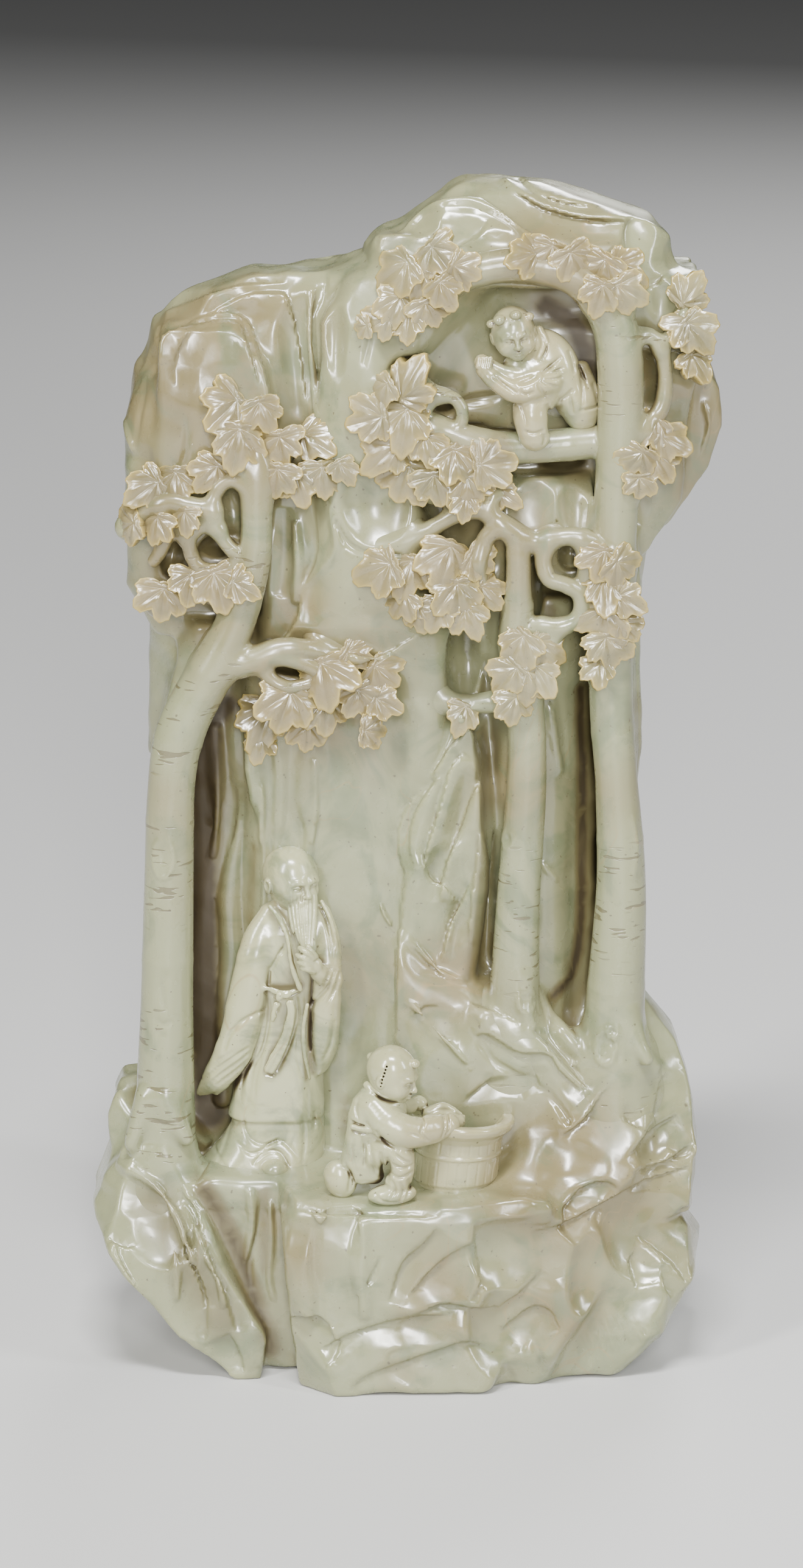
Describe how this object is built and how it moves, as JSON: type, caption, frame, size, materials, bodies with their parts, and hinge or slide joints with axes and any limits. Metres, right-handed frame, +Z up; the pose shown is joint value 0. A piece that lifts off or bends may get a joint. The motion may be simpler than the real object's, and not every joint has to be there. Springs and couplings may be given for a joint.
{
  "type": "jade boulder carving",
  "caption": "Tall standing boulder carved as a cliff garden, with a robed elder, a kneeling attendant at a wash tub and a child seated in broad-leaved trees.",
  "frame": {"origin": "middle of the carving's bounding box, on the plane of its flat underside", "axes": "+Z up along the carving's height, +X to the viewer's right, the carved front faces -Y"},
  "size_m": [0.1414, 0.0932, 0.27],
  "materials": {
    "jade": "hand-polished pale celadon nephrite, slightly translucent, with yellow-brown tints in the recesses and leaf edges"
  },
  "bodies": {
    "root": {"jade_boulder": "jade"}
  },
  "joints": []
}
